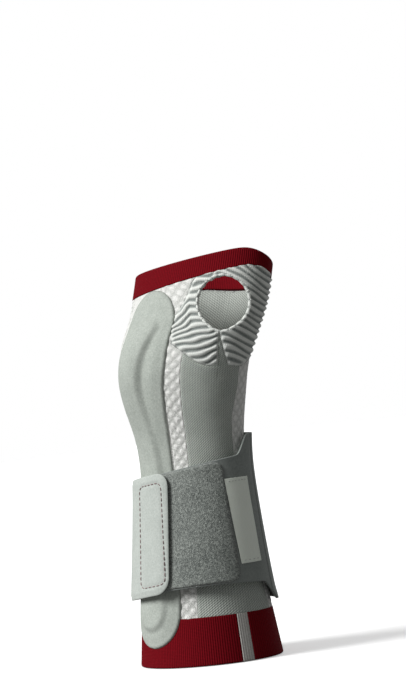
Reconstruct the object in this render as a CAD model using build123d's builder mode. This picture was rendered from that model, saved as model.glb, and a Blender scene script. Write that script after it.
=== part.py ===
"""A wrist splint: a knitted wrist sleeve with an aluminium palmar stay in a bonded pocket, and a
hook-and-loop forearm strap.

It stands on its forearm end as it would be worn on a right arm, palm side to the front.
+Z runs from the forearm to the fingers, -Y is the palm side and +X is the thumb side.
The origin is the middle of the whole part at its foot. All sizes are in millimetres.

Angles round the arm, called turns, are in degrees: 0 is the palm side, 90 the thumb side,
180 the back of the arm and -90 the little-finger side.
"""

import os
from math import acos, cos, degrees, radians, sin, tan

from build123d import *

# The forearm's axis, which the sections and all side views are measured from
ARM_X = -6.05
ARM_Y = -0.9

# Cross-sections of the knit's outer face: height, centre x, centre y, half width, half depth.
SECTIONS = [
    (0.0, -0.4, -0.4, 37.9, 33.5),
    (33.0, -0.3, -0.3, 34.3, 28.9),
    (66.0, 0.3, 0.3, 31.5, 24.5),
    (95.0, 0.9, 0.9, 30.0, 21.4),
    (112.0, 1.0, 0.9, 30.9, 21.6),
    (132.0, 1.0, 0.7, 35.2, 24.0),
    (147.0, 1.7, 1.5, 38.3, 25.2),
    (160.0, 2.9, 5.2, 41.6, 25.6),
    (174.0, 5.2, 11.2, 42.7, 24.2),
    (190.0, 6.6, 16.2, 43.4, 22.8),
    (216.0, 7.2, 23.5, 43.4, 21.5),
]
LOFT_STEP = 12.0
LOFT_COUNT = 18
LOFT_TOP = LOFT_STEP * LOFT_COUNT

# Knit
KNIT_THICK = 2.0
FOREARM_CUFF_TALL = 23.5
# Slanted planes: height over the forearm's axis, rise per mm towards the thumb and to the back
PALM_RIM = [(198.55, 0.099, 0.0), (214.7, -0.107, -0.616)]
PALM_CUFF_FOOT = [(187.5, 0.139, 0.0), (206.0, -0.107, -0.616)]
STRIPE_TURNS = (67.0, 77.5)

# Where one knit zone gives way to the next: (height, turn) pairs
PALM_PANEL_ULNAR = [(0, -47)]
PALM_PANEL_RADIAL = [(150, 13), (170, 8), (188, -9)]
RADIAL_PANEL_FRONT = [(0, 30)]
RADIAL_PANEL_BACK = [(30, 112), (100, 87), (120, 85.5), (136, 93)]
BACK_PANEL_RADIAL = [(30, 140), (100, 122)]
BACK_PANEL_ULNAR = [(30, -140), (100, -122)]
ULNAR_PANEL_BACK = [(30, -118), (100, -96)]
ULNAR_PANEL_FRONT = [(0, -62)]

# Thumb opening and its ribbed gusset, seen square on from THUMB_TURN
THUMB_TURN = 40.0
THUMB_HOLE_ACROSS = 27.3  # to the thumb side of the axis, in that view
THUMB_HOLE_HEIGHT = 176.8
THUMB_HOLE_RADIUS = 13.2
WELT_WIDE = 1.8
WELT_PROUD = 0.5
WELT_INSIDE = 0.2
GUSSET_FRONT = 2.6
GUSSET_FRONT_HEAD = [(2.6, 174.0), (12.5, 194.0), (30.0, 230.0)]
GUSSET_BACK = 60.0
GUSSET_FOOT = [(GUSSET_FRONT, 158.0), (13.2, 147.0), (27.3, 142.5), (37.0, 145.0), (44.0, 152.0)]
TONGUE = [(21.7, 130.0), (23.6, 165.5), (31.7, 130.0)]  # plain knit that parts the ribs
GUSSET_DEPTH = -10.0  # how far behind the axis the gusset reaches, in that view

# Palmar pocket and what it holds: middles and half widths go with the heights
POCKET_HEIGHTS = (30.0, 68.0, 105.0, 135.0, 152.0, 168.0)
POCKET_MIDDLE = (-7.5, -6.6, -5.8, -6.2, -5.5, -4.2)
POCKET_HALF_WIDE = (17.8, 15.0, 12.9, 15.8, 18.2, 18.4)
POCKET_FOOT = 9.7
POCKET_HEAD = 186.5
STAY_MIDDLE = (-7.5, -7.2, -7.8, -11.5, -10.0, -4.6)
STAY_HALF_WIDE = (8.7, 7.8, 7.0, 7.0, 7.6, 9.0)
STAY_FOOT = 20.0
STAY_HEAD = 172.0
PAD_MARGIN = 0.8
CAVITY_MARGIN = 1.2
DOME_MARGIN = 2.0
LAYER_GAP = 0.05
PAD_LAYER = (0.1, 0.8)
STAY_LAYER = (0.85, 2.35)
CAVITY_ROOF = 2.45
DOME_TOP = 3.1
CAVITY_FLOOR = -1.0
FLANGE_LAYER = (0.1, 1.0)

# Strap: the wing passes over the pocket, and the tab passes over the wing
WING_SHIFT = 1.5  # towards the thumb
WING_CLEAR_SIDE = 2.5
WING_CLEAR_PALM = 4.1
WING_CLEAR_BACK = 0.8
TAB_OVER_WING = 2.9
BASE_LAYER = (0.0, 1.4)
WING_LAYER = (0.0, 1.0)
LOOP_LAYER = (1.05, 1.75)
LABEL_LAYER = (1.05, 1.4)
TAB_LAYER = (0.0, 1.4)
HOOK_LAYER = (-0.6, -0.05)
STRAP_FOOT = (34.6, 0.092, -0.092)  # slanted planes, as the palm rim's are
STRAP_HEAD = (96.8, 0.127, 0.057)
BASE_FOOT = 27.5
BASE_HEAD = 111.0
FLARE_FOOT = ((1.5, 42.0), (14.5, BASE_FOOT))  # seen from the thumb side: the flare's two slopes
FLARE_HEAD = ((4.5, BASE_HEAD), (-6.5, 95.0))
FLARE_ROUND = 6.0
WING_HINGE_TURN = 112.0
WING_END_TURN = -38.0
LOOP_START_TURN = -37.0
LOOP_INSET = 0.6
LOOP_END = -11.6  # seen from the thumb side
LOOP_END_FOOT = (39.0, 0.05)  # its corners: height there, and rise per mm
LOOP_END_HEAD = (99.3, 0.15)
LOOP_CORNER = 5.0
LABEL_WIDE = 13.0
LABEL_TALL = 42.3
LABEL_MIDDLE = (-4.0, 69.1)  # seen from the thumb side
LABEL_TILT = 2.5
LABEL_STITCH_INSET = 1.6
TAB_FOOT = 36.5  # in front of the forearm's axis
TAB_HEAD = 95.7
TAB_RISE = 0.118  # per mm towards the thumb
TAB_END = 10.6  # seen from the palm side
TAB_CORNER = 7.0
TAB_HINGE_TURN = -96.0
HOOK_TURNS = (-24.5, 8.0)
HOOK_MARGIN = 3.5
HINGE_FOOT, HINGE_HEAD = 36.0, 98.5
HINGE_GAP = 0.8  # free fabric each side of a fold line

# Sewing thread
STITCH = (2.2, 0.5, 0.35)  # long, wide, tall
STITCH_PITCH = 3.2
TAB_STITCH_TURNS = (-23.0, 6.0)
TAB_STITCH_MARGIN = 4.6
TAB_LEVEL_STITCH_PITCH = 5.8  # in degrees
LABEL_STITCH_PITCH = 6.5  # in degrees
LEVEL_ROW_INSET = 5.0  # in degrees
ANCHOR_TURNS = (152.0, 208.0)
ANCHOR_MARGIN = 5.0

REACH = 90.0  # how far cutting shapes run past the part


# ---------------------------------------------------------------- sections and shells


def section_at(z):
    """Centre x, centre y, half width and half depth of the knit at a height, by a smooth cubic."""
    heights = [row[0] for row in SECTIONS]
    z = min(max(z, heights[0]), heights[-1])
    i = max(k for k in range(len(heights) - 1) if heights[k] <= z)
    span = heights[i + 1] - heights[i]
    f = (z - heights[i]) / span
    rise = f * f * (3 - 2 * f)
    result = []
    for column in range(1, 5):
        value = [row[column] for row in SECTIONS]

        def slope(k):
            a, b = max(k - 1, 0), min(k + 1, len(value) - 1)
            return (value[b] - value[a]) / (heights[b] - heights[a]) * span

        start = f * (1 - f) ** 2 * slope(i)
        end = f * f * (f - 1) * slope(i + 1)
        result.append(value[i] * (1 - rise) + value[i + 1] * rise + start + end)
    cx, cy, rx, ry = result
    return cx + ARM_X, cy + ARM_Y, rx, ry


def knit(z, out):
    """The knit's outline, moved out by a distance."""
    cx, cy, rx, ry = section_at(z)
    return cx, cy, rx + out, ry + out


def wing(z, out):
    """The outline of the strap's wing and base, which rides over the pocket on the palm side."""
    cx, cy, rx, ry = section_at(z)
    lift = (WING_CLEAR_PALM - WING_CLEAR_BACK) / 2
    return cx + WING_SHIFT, cy - lift, rx + WING_CLEAR_SIDE + out, ry + WING_CLEAR_BACK + lift + out


def tab(z, out):
    """The outline of the closing tab, which rides over the wing."""
    cx, cy, rx, ry = wing(z, out)
    return cx, cy - TAB_OVER_WING / 2, rx, ry + TAB_OVER_WING / 2


def shell(outline, inner, outer, bottom=0.0, top=LOFT_TOP):
    """A closed wall that follows an outline between two offsets and two heights."""
    heights = [LOFT_STEP * k for k in range(LOFT_COUNT + 1)]
    with BuildPart() as wall:
        for out, mode in ((outer, Mode.ADD), (inner, Mode.SUBTRACT)):
            slices = []
            for z in heights:
                cx, cy, rx, ry = outline(z, out)
                with BuildSketch(Plane.XY.offset(z), mode=Mode.PRIVATE) as slice_:
                    with Locations((cx, cy)):
                        Ellipse(rx, ry)
                slices.append(slice_.sketch)
            loft(sections=slices, mode=mode)
        if bottom > 0:
            split(bisect_by=Plane.XY.offset(bottom), keep=Keep.TOP)
        if top < LOFT_TOP:
            split(bisect_by=Plane.XY.offset(top), keep=Keep.BOTTOM)
    return wall.part


def turn_at(border, z):
    """A border's turn at a height, straight between the heights that it names."""
    if z <= border[0][0]:
        return border[0][1]
    for (z0, t0), (z1, t1) in zip(border, border[1:]):
        if z <= z1:
            return t0 + (t1 - t0) * (z - z0) / (z1 - z0)
    return border[-1][1]


def on_outline(outline, z, turn, out=0.0, reach=1.0):
    """A point of an outline, or further out along the same ray from its centre."""
    cx, cy, rx, ry = outline(z, out)
    return cx + reach * rx * sin(radians(turn)), cy - reach * ry * cos(radians(turn))


def sector(outline, start, end, reach=1.9):
    """Everything round the arm from one border to another, as a solid that follows the arm's axis."""
    heights = [-5.0, 30.0, 66.0, 100.0, 125.0, 145.0, 160.0, 174.0, 190.0, 220.0]
    with BuildPart() as made:
        slices = []
        for z in heights:
            t0, t1 = turn_at(start, z), turn_at(end, z)
            steps = max(1, round((end[0][1] - start[0][1]) / 40))
            rim = [
                on_outline(outline, z, t0 + (t1 - t0) * k / steps, reach=reach)
                for k in range(steps + 1)
            ]
            cx, cy = outline(z, 0)[:2]
            with BuildSketch(Plane.XY.offset(z), mode=Mode.PRIVATE) as slice_:
                Polygon((cx, cy), *rim, align=None)
            slices.append(slice_.sketch)
        loft(sections=slices, ruled=True)
    return made.part


def slanted(height, to_thumb, to_back):
    """A slanted plane, from its height over the forearm's axis and its rises."""
    return Plane(origin=(ARM_X, ARM_Y, height), z_dir=Vector(-to_thumb, -to_back, 1).normalized())


def between(roofs, floor=None):
    """Everything under some slanted planes and above another."""
    with BuildPart() as made:
        with Locations((ARM_X, ARM_Y, LOFT_TOP / 2)):
            Box(2 * REACH, 2 * REACH, LOFT_TOP + 2 * REACH)
        for roof in roofs:
            split(bisect_by=slanted(*roof), keep=Keep.BOTTOM)
        if floor:
            split(bisect_by=slanted(*floor), keep=Keep.TOP)
    return made.part


def part_of(wall, inside, outside=()):
    """What is left of a wall inside some shapes and outside others."""
    with BuildPart() as made:
        add(wall)
        for shape in inside:
            add(shape, mode=Mode.INTERSECT)
        for shape in outside:
            add(shape, mode=Mode.SUBTRACT)
    return made.part


def label_and_write(part, name):
    """Names a finished piece and writes it to its own file."""
    part.label = name
    export_step(part, f"parts/{name}.step")


# ---------------------------------------------------------------- sleeve


THUMB_SIDE = Plane(origin=(0, ARM_Y, 0), x_dir=(0, 1, 0), z_dir=(1, 0, 0))
PALM_SIDE = Plane(origin=(ARM_X, 0, 0), x_dir=(1, 0, 0), z_dir=(0, -1, 0))
THUMB_VIEW = Plane(
    origin=(ARM_X, ARM_Y, 0),
    x_dir=(cos(radians(THUMB_TURN)), sin(radians(THUMB_TURN)), 0),
    z_dir=(sin(radians(THUMB_TURN)), -cos(radians(THUMB_TURN)), 0),
)


def thumb_prism(grow=0.0):
    """The thumb hole's outline, grown by a margin and driven outwards along the thumb."""
    with BuildPart() as made:
        with BuildSketch(THUMB_VIEW):
            with Locations((THUMB_HOLE_ACROSS, THUMB_HOLE_HEIGHT)):
                Circle(THUMB_HOLE_RADIUS + grow)
        extrude(amount=REACH)
    return made.part


def gusset_prism():
    """The ribbed zone's outline round the thumb, without the tongue of plain knit under the hole."""
    with BuildPart() as made:
        with BuildSketch(THUMB_VIEW.offset(GUSSET_DEPTH)):
            with BuildLine():
                foot = Spline(*GUSSET_FOOT)
                Polyline(
                    foot @ 1,
                    (GUSSET_BACK, GUSSET_FOOT[-1][1]),
                    (GUSSET_BACK, GUSSET_FRONT_HEAD[-1][1]),
                    *reversed(GUSSET_FRONT_HEAD),
                    foot @ 0,
                )
            make_face()
            with BuildLine():
                Polyline(*TONGUE, close=True)
            make_face(mode=Mode.SUBTRACT)
        extrude(amount=REACH)
    return made.part


def make_knit():
    """The knitted sleeve: plain and honeycomb panels, ribbed gusset, its welt and the two cuffs."""
    under_cuff = between(PALM_CUFF_FOOT)
    trunk = part_of(shell(knit, -KNIT_THICK, 0.0, bottom=FOREARM_CUFF_TALL), [under_cuff])
    gusset_zone = gusset_prism()
    thumb_hole = thumb_prism()
    welt_zone = thumb_prism(WELT_WIDE)

    whole_turn = [(z, t + 360) for z, t in BACK_PANEL_ULNAR]
    zones = {
        "palmar_knit_panel": (PALM_PANEL_ULNAR, PALM_PANEL_RADIAL),
        "palmar_radial_honeycomb": (PALM_PANEL_RADIAL, RADIAL_PANEL_FRONT),
        "radial_knit_panel": (RADIAL_PANEL_FRONT, RADIAL_PANEL_BACK),
        "dorsal_radial_honeycomb": (RADIAL_PANEL_BACK, BACK_PANEL_RADIAL),
        "dorsal_knit_panel": (BACK_PANEL_RADIAL, whole_turn),
        "dorsal_ulnar_honeycomb": (BACK_PANEL_ULNAR, ULNAR_PANEL_BACK),
        "ulnar_knit_panel": (ULNAR_PANEL_BACK, ULNAR_PANEL_FRONT),
        "palmar_ulnar_honeycomb": (ULNAR_PANEL_FRONT, PALM_PANEL_ULNAR),
    }
    for name, (start, end) in zones.items():
        panel = part_of(trunk, [sector(knit, start, end)], [gusset_zone, welt_zone])
        label_and_write(panel, name)
    gusset = part_of(trunk, [gusset_zone], [welt_zone])
    label_and_write(gusset, "thumb_gusset")

    thick_wall = shell(knit, -KNIT_THICK - WELT_INSIDE, WELT_PROUD)
    welt = part_of(thick_wall, [under_cuff, welt_zone], [thumb_hole])
    label_and_write(welt, "thumb_welt")

    palm_cuff = part_of(shell(knit, -KNIT_THICK, 0.0), [between(PALM_RIM)], [under_cuff])
    label_and_write(palm_cuff, "palm_cuff")

    cuff_wall = shell(knit, -KNIT_THICK, 0.0, top=FOREARM_CUFF_TALL)
    stripe_zone = sector(knit, [(0, STRIPE_TURNS[0])], [(0, STRIPE_TURNS[1])])
    label_and_write(part_of(cuff_wall, [stripe_zone]), "cuff_stripe")
    label_and_write(part_of(cuff_wall, [], [stripe_zone]), "forearm_cuff")


# ---------------------------------------------------------------- palmar stay and pocket


def palmar_prism(middles, half_wide, foot, head, margin=0.0):
    """A long rounded outline down the palm side, seen from the front and driven out to the palm."""
    rows = list(zip(middles, half_wide, POCKET_HEIGHTS))
    thumb_side = [(middle + half + margin, z) for middle, half, z in rows]
    other_side = [(middle - half - margin, z) for middle, half, z in reversed(rows)]
    with BuildPart() as made:
        with BuildSketch(PALM_SIDE):
            with BuildLine():
                right = Spline(*thumb_side)
                left = Spline(*other_side)
                Spline(
                    right @ 1,
                    (middles[-1], head + margin),
                    left @ 0,
                    tangents=(right % 1, left % 0),
                )
                Spline(
                    left @ 1,
                    (middles[0], foot - margin),
                    right @ 0,
                    tangents=(left % 1, right % 0),
                )
            make_face()
        extrude(amount=REACH)
    return made.part


def stay_prism(margin=0.0):
    """The aluminium stay's own outline, grown by a margin."""
    return palmar_prism(STAY_MIDDLE, STAY_HALF_WIDE, STAY_FOOT, STAY_HEAD, margin)


def make_pocket():
    """The bonded pocket on the palm side, the soft backing pad and the aluminium stay inside it."""
    stay = part_of(shell(knit, *STAY_LAYER), [stay_prism()])
    label_and_write(stay, "palmar_stay")

    pad = part_of(shell(knit, *PAD_LAYER), [stay_prism(PAD_MARGIN)])
    label_and_write(pad, "stay_backing_pad")

    flange = part_of(
        shell(knit, *FLANGE_LAYER),
        [palmar_prism(POCKET_MIDDLE, POCKET_HALF_WIDE, POCKET_FOOT, POCKET_HEAD)],
    )
    dome = part_of(shell(knit, FLANGE_LAYER[0], DOME_TOP), [stay_prism(DOME_MARGIN)])
    cavity = part_of(shell(knit, CAVITY_FLOOR, CAVITY_ROOF), [stay_prism(CAVITY_MARGIN)])
    with BuildPart() as cover:
        add(flange)
        add(dome)
        add(cavity, mode=Mode.SUBTRACT)
    label_and_write(cover.part, "stay_pocket_cover")


# ---------------------------------------------------------------- strap


def strip(view, end, foot, head, corner=0.0):
    """A long strip, square on to a view and driven both ways, with rounded corners at its end.

    Its foot and head are given as a height at that end and a rise per mm.
    """
    far = end - 2 * REACH
    low, high = (height - rise * 2 * REACH for height, rise in (foot, head))
    with BuildPart() as made:
        with BuildSketch(view) as outline:
            with BuildLine():
                Polyline((far, low), (end, foot[0]), (end, head[0]), (far, high), close=True)
            make_face()
            if corner:
                fillet(outline.vertices().sort_by(Axis.X)[-2:], radius=corner)
        extrude(amount=REACH, both=True)
    return made.part


def tab_strip(margin, end, corner=0.0):
    """The closing tab's slanted strip, drawn in by a margin at its foot and head."""
    foot, head = (height + TAB_RISE * end for height in (TAB_FOOT + margin, TAB_HEAD - margin))
    return strip(PALM_SIDE, end, (foot, TAB_RISE), (head, TAB_RISE), corner)


def strap_zone():
    """Between the strap's foot and head, and taller at the back."""
    with BuildPart() as made:
        with BuildSketch(THUMB_SIDE) as outline:
            with BuildLine():
                Polyline(*FLARE_FOOT, (REACH, BASE_FOOT), (REACH, BASE_HEAD), *FLARE_HEAD, close=True)
            make_face()
            corners = [v for v in outline.vertices() if 0 < v.X < REACH and not BASE_FOOT < v.Y < BASE_HEAD]
            fillet(corners, radius=FLARE_ROUND)
        extrude(amount=REACH, both=True)
        add(between([STRAP_HEAD], STRAP_FOOT))
    return made.part


def gap_turns(outline, turn, gap):
    """The turns that a gap covers on each side of a fold line, as borders."""
    cx, cy, rx, ry = outline((HINGE_FOOT + HINGE_HEAD) / 2, 0)
    run = ((rx * cos(radians(turn))) ** 2 + (ry * sin(radians(turn))) ** 2) ** 0.5
    half = degrees(gap / run)
    return [(0, turn - half)], [(0, turn + half)]


def stitches(outline, offset, places):
    """Short thread ends on an outline. Each place is a height, a turn and True for a level stitch."""
    long, wide, tall = STITCH
    with BuildPart() as thread:
        for z, turn, level in places:
            x, y = on_outline(outline, z, turn, offset)
            x1, y1 = on_outline(outline, z, turn + 1, offset)
            x2, y2 = on_outline(outline, z + 1, turn, offset)
            round_arm = Vector(x1 - x, y1 - y, 0).normalized()
            up_arm = Vector(x2 - x, y2 - y, 1).normalized()
            outwards = round_arm.cross(up_arm)
            along = round_arm if level else up_arm
            with BuildSketch(Plane(origin=(x, y, z), x_dir=along, z_dir=outwards)):
                SlotOverall(long, wide)
            extrude(amount=tall)
    return thread.part


def spread(start, end, pitch):
    """Evenly spaced values from start to end, about a pitch apart."""
    count = max(1, round(abs(end - start) / pitch))
    return [start + (end - start) * k / count for k in range(count + 1)]


def label_turn(z, across):
    """The wing's turn at a height and a distance across the label from its middle line."""
    middle, height = LABEL_MIDDLE
    y = ARM_Y + middle + (height - z) * tan(radians(LABEL_TILT)) + across
    cx, cy, rx, ry = wing(z, LABEL_LAYER[1])
    return degrees(acos((cy - y) / ry))


def make_strap():
    """The strap's base sewn round the back of the arm, its loop wing and its hook tab."""
    reach = dict(bottom=BASE_FOOT, top=BASE_HEAD)
    zone = strap_zone()
    wing_gap_front, wing_gap_back = gap_turns(wing, WING_HINGE_TURN, HINGE_GAP)
    tab_gap_back, tab_gap_front = gap_turns(wing, TAB_HINGE_TURN, HINGE_GAP)
    whole_turn = [(z, t + 360) for z, t in tab_gap_back]

    base = part_of(shell(wing, *BASE_LAYER, **reach), [sector(wing, wing_gap_back, whole_turn), zone])
    label_and_write(base, "strap_base")

    band_zone = sector(wing, [(0, WING_END_TURN)], wing_gap_front)
    band = part_of(shell(wing, *WING_LAYER, **reach), [band_zone, zone])
    label_and_write(band, "loop_wing_band")

    (low, *slopes_low), (high, *slopes_high) = STRAP_FOOT, STRAP_HEAD
    inner_slab = between([(high - LOOP_INSET, *slopes_high)], (low + LOOP_INSET, *slopes_low))
    loop_zone = sector(wing, [(0, LOOP_START_TURN)], [(0, WING_HINGE_TURN)])
    loop_end = strip(THUMB_SIDE, LOOP_END, LOOP_END_FOOT, LOOP_END_HEAD, LOOP_CORNER)
    loop = part_of(shell(wing, *LOOP_LAYER), [loop_zone, inner_slab, loop_end])
    label_and_write(loop, "loop_field")

    with BuildPart() as label_zone:
        with BuildSketch(THUMB_SIDE):
            with Locations(Location((*LABEL_MIDDLE, 0), LABEL_TILT)):
                Rectangle(LABEL_WIDE, LABEL_TALL)
        extrude(amount=REACH)
    label_and_write(part_of(shell(wing, *LABEL_LAYER), [label_zone.part]), "blank_label")

    label_rows = []
    for side in (-1, 1):
        z = LABEL_MIDDLE[1] + side * (LABEL_TALL / 2 - LABEL_STITCH_INSET)
        ends = (label_turn(z, across) for across in (-LABEL_WIDE / 2, LABEL_WIDE / 2))
        start, end = ends
        turns = spread(start + LEVEL_ROW_INSET, end - LEVEL_ROW_INSET, LABEL_STITCH_PITCH)
        label_rows += [(z, turn, True) for turn in turns]
    label_thread = stitches(wing, LABEL_LAYER[1] + LAYER_GAP, label_rows)
    label_and_write(label_thread, "label_stitching")

    tab_zone = sector(tab, tab_gap_front, [(0, 90)])
    tab_wall = shell(tab, *TAB_LAYER)
    panel = part_of(tab_wall, [tab_zone, tab_strip(0, TAB_END, TAB_CORNER)])
    label_and_write(panel, "tab_panel")

    hook_zone = sector(tab, [(0, HOOK_TURNS[0])], [(0, HOOK_TURNS[1])])
    hooks = part_of(shell(tab, *HOOK_LAYER), [hook_zone, tab_strip(HOOK_MARGIN, REACH)])
    label_and_write(hooks, "hook_patch")

    def tab_height(z, turn):
        """A height in front of the axis, carried round the arm along the tab's slant."""
        x = on_outline(tab, z, turn, TAB_LAYER[1])[0] - ARM_X
        return z + TAB_RISE * x

    low, high = TAB_FOOT + TAB_STITCH_MARGIN, TAB_HEAD - TAB_STITCH_MARGIN
    left, right = TAB_STITCH_TURNS
    box_rows = [(z, turn, False) for turn in (left, right) for z in spread(low, high, STITCH_PITCH)]
    level_turns = spread(left + LEVEL_ROW_INSET, right - LEVEL_ROW_INSET, TAB_LEVEL_STITCH_PITCH)
    box_rows += [(z, turn, True) for z in (low, high) for turn in level_turns]
    box_rows = [(tab_height(z, turn), turn, level) for z, turn, level in box_rows]
    box_thread = stitches(tab, TAB_LAYER[1] + LAYER_GAP, box_rows)
    label_and_write(box_thread, "tab_box_stitching")

    anchor_rows = [
        (z, turn, False)
        for turn in ANCHOR_TURNS
        for z in spread(BASE_FOOT + ANCHOR_MARGIN, BASE_HEAD - ANCHOR_MARGIN, STITCH_PITCH)
    ]
    anchor_thread = stitches(wing, BASE_LAYER[1] + LAYER_GAP, anchor_rows)
    label_and_write(anchor_thread, "strap_anchor_stitching")


os.makedirs("parts", exist_ok=True)
make_knit()
make_pocket()
make_strap()
for fold, outline, turn, out in (
    ("wing fold", wing, WING_HINGE_TURN, WING_LAYER[1]),
    ("tab fold", tab, TAB_HINGE_TURN, TAB_LAYER[1]),
):
    foot, head = (on_outline(outline, z, turn, out) for z in (HINGE_FOOT, HINGE_HEAD))
    print(fold, "runs from", (*foot, HINGE_FOOT), "to", (*head, HINGE_HEAD))
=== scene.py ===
"""The look of the wrist splint: its knit, cuffs, stay pocket, strap and thread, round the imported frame.

Lengths are in millimetres until a mesh is made. Turns go round the arm in degrees: 0 is the palm
side, 90 the thumb side, 180 the back and -90 the little-finger side.
"""

import bmesh
import bpy
import numpy as np
from mathutils import Matrix, Vector


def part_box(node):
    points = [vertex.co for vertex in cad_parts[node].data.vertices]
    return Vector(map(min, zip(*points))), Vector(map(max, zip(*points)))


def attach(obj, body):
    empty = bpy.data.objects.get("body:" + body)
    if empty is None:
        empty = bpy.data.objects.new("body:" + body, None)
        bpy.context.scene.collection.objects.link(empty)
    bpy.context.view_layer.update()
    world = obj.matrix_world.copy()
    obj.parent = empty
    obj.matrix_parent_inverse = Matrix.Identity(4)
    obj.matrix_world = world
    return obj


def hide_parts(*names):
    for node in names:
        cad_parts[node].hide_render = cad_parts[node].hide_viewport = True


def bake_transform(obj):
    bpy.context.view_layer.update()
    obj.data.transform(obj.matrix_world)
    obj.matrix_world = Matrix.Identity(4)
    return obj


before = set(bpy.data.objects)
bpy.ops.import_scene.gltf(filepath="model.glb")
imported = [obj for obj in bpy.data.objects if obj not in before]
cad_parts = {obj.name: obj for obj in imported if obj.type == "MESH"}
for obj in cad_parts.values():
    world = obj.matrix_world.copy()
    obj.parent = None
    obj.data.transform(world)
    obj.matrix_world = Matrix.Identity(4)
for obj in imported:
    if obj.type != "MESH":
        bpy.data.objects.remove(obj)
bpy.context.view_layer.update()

MM = 0.001
cuff_low, cuff_high = (np.array(corner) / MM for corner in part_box("forearm_cuff"))
ARM = (cuff_low + cuff_high) / 2 * (1, 1, 0) + (0.4, 0.4, 0.0)  # the forearm's axis
CUFF_TOP = cuff_high[2]

# The knit's outer face, as the solids have it: height, centre x and y, half width and depth
SECTIONS = (
    (0.0, -0.4, -0.4, 37.9, 33.5),
    (33.0, -0.3, -0.3, 34.3, 28.9),
    (66.0, 0.3, 0.3, 31.5, 24.5),
    (95.0, 0.9, 0.9, 30.0, 21.4),
    (112.0, 1.0, 0.9, 30.9, 21.6),
    (132.0, 1.0, 0.7, 35.2, 24.0),
    (147.0, 1.7, 1.5, 38.3, 25.2),
    (160.0, 2.9, 5.2, 41.6, 25.6),
    (174.0, 5.2, 11.2, 42.7, 24.2),
    (190.0, 6.6, 16.2, 43.4, 22.8),
    (216.0, 7.2, 23.5, 43.4, 21.5),
)
KNIT_STEP = 0.6  # the knit's grid
KNIT_THICK = 1.7
CUFF_STEP = 0.55
SHEET_STEP = 0.7  # the grid of the pocket, the loop field and the tab
LEAST_SIDE = 10.0  # a sheet's side is never given as less
LEAST_SHARE = 0.3  # nor its area as a smaller share of its sides
OUTSIDE = -50.0  # a distance that is well outside any shape

# Slanted planes: height over the forearm's axis, rise per mm towards the thumb and to the back
PALM_RIM = ((198.55, 0.099, 0.0), (214.7, -0.107, -0.616))
PALM_CUFF_FOOT = ((187.5, 0.139, 0.0), (206.0, -0.107, -0.616))
PALM_CUFF_TALL = 11.0
PALM_CUFF_OUT = (0.3, -2.0)  # its outer and inner faces, off the knit's outer face
FOREARM_CUFF_OUT = (0.12, -1.9)
STRIPE_TURNS = (67.0, 77.5)

# Thumb hole and gusset, square on from the thumb
THUMB_TURN = np.radians(40.0)
HOLE = (27.3, 176.8)
HOLE_RADIUS = 12.8
HOLE_POINT = (1.3, 259.0, 24.0)  # the hole's foot is drawn out: by how much, where and how widely
WELT_RADIUS = 0.72
WELT_SINK = 0.55
WELT_STRIP = 3.5  # the width of the strip that is rolled up
WELT_FOLDS = 22
GUSSET_FRONT = ((168.0, -1.0), (172.0, 1.5), (180.5, 8.2), (188.0, 12.0), (193.0, 16.0), (230.0, 36.0))
GUSSET_DEPTH = -10.0
GUSSET_FOOT = ((-1, 159), (6, 153), (10, 149.4), (16, 146.4), (26, 145.4), (33, 144.7), (37, 148), (60, 152))
SEAM_TIP = (24.0, 163.5)
SEAM_FOOT = 140.0
SEAM_SPREAD = (0.15, 0.13)  # how fast the tongue widens to the palm and to the back
RIB_PITCH = 3.7
RIB_TALL = 1.2
RIB_GATHER = 1.3  # the ribs take up this much more cloth than their flat run
RIB_LIFT = 2.2  # how far the ribs have risen where they meet the seam
SIDE_SEAM = 10.2  # the fine slanted ribs meet the level ones here
SIDE_RIBS = (158.0, 170.0)  # the level ribs give way to the slanted ones between these heights

# Honeycomb bands between the smooth panels: (name, palm-ward border, back-ward border)
BANDS = (
    ("palmar_radial_honeycomb", ((150, 13), (170, 8), (188, -9)), ((0, 33), (40, 33), (80, 30))),
    ("dorsal_radial_honeycomb", ((30, 112), (100, 87), (120, 85.5), (136, 93)), ((30, 140), (100, 122))),
    ("dorsal_ulnar_honeycomb", ((30, -140), (100, -122)), ((30, -118), (100, -96))),
    ("palmar_ulnar_honeycomb", ((0, -62),), ((0, -47),)),
)
# Smooth panels between the bands, with the turns that they lie between
PANELS = (("palmar_knit_panel", -50, 20), ("radial_knit_panel", 20, 115), ("ulnar_knit_panel", -115, -50))
CELL_TALL = 5.4
CELL_WIDE = 6.0
CELL_PROUD = 0.36
RELIEF_SINK = 0.25  # raised knit starts this far under the smooth panels' face

# Stay pocket and stay: middle and half width at these heights
POCKET_HEIGHTS = (30.0, 68.0, 105.0, 135.0, 152.0, 168.0)
POCKET = ((-7.5, -6.6, -5.8, -6.2, -5.5, -4.2), (17.8, 15.0, 12.9, 15.8, 18.2, 18.4), 9.7, 186.5)
STAY = ((-7.5, -7.2, -7.8, -11.5, -10.0, -4.6), (8.7, 7.8, 7.0, 7.0, 7.6, 9.0), 20.0, 172.0)
POCKET_FLAT = (40, 178)
POCKET_LOW = 0.12  # the flange's edge, off the knit
FLANGE_TALL = 1.05
FLANGE_SLOPE = 0.9  # the flange rises by this much from its edge to the stay
DOME_TALL = 3.5
PALM_DOME = 2.0
PALM_RISES, PALM_FALLS = (112, 145), (158, 182)  # the heights over which the palm's dome does so
PAD_MARGIN = 0.8  # the backing is this much wider than the stay

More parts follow.
